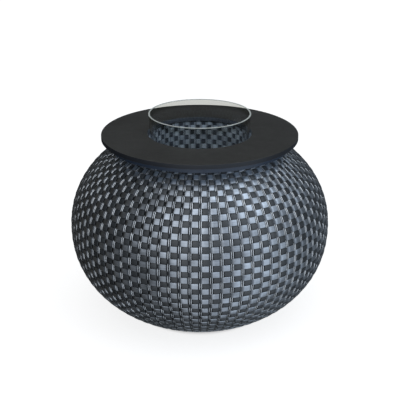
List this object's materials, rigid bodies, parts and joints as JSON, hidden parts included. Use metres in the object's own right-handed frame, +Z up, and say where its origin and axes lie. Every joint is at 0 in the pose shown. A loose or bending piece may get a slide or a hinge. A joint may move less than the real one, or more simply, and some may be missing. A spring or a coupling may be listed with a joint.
{
  "type": "ice bucket coffee table",
  "caption": "Round woven globe coffee table with a flat ring top and a clear glass ice bucket that stands in a woven well and lifts out.",
  "frame": {"origin": "centre of the table's footprint, on the floor that the glides stand on", "axes": "+Z up along the axis of the globe; the picture looks along +Y"},
  "size_m": [0.5996, 0.5982, 0.4778],
  "materials": {
    "charcoal_board": "matt charcoal compact board",
    "collar_board": "satin slate grey",
    "strip": "satin woven strip, slate",
    "frame_paint": "black powder coat",
    "clear_glass": "clear, fire polished",
    "rubber": "matt black",
    "steel": "plated"
  },
  "bodies": {
    "table": {"tabletop": "charcoal_board", "collar": "collar_board", "top_screw_1": "steel", "top_screw_2": "steel", "top_screw_3": "steel", "top_screw_4": "steel", "woven_skin": "strip", "neck_ring": "frame_paint", "foot_ring": "frame_paint", "foot_hoop": "frame_paint", "belly_hoop": "frame_paint", "shoulder_hoop": "frame_paint", "rib_1": "frame_paint", "rib_2": "frame_paint", "rib_3": "frame_paint", "rib_4": "frame_paint", "rib_5": "frame_paint", "rib_6": "frame_paint", "rib_7": "frame_paint", "rib_8": "frame_paint", "woven_well": "strip", "well_hoop_top": "frame_paint", "well_hoop_bottom": "frame_paint", "well_rod_1": "frame_paint", "well_rod_2": "frame_paint", "well_rod_3": "frame_paint", "well_rod_4": "frame_paint", "well_strut_1": "frame_paint", "well_strut_2": "frame_paint", "well_strut_3": "frame_paint", "well_strut_4": "frame_paint", "well_floor": "frame_paint", "bucket_pad_1": "rubber", "bucket_pad_2": "rubber", "bucket_pad_3": "rubber", "bucket_pad_4": "rubber", "glide_1": "rubber", "glide_2": "rubber", "glide_3": "rubber", "glide_4": "rubber", "glide_nut_1": "steel", "glide_nut_2": "steel", "glide_nut_3": "steel", "glide_nut_4": "steel"},
    "bucket": {"ice_bucket": "clear_glass"}
  },
  "joints": [
    {"name": "bucket_lift", "type": "slide", "parent": "table", "child": "bucket", "axis": [0, 0, 1], "range_m": [0, 0.2]}
  ]
}
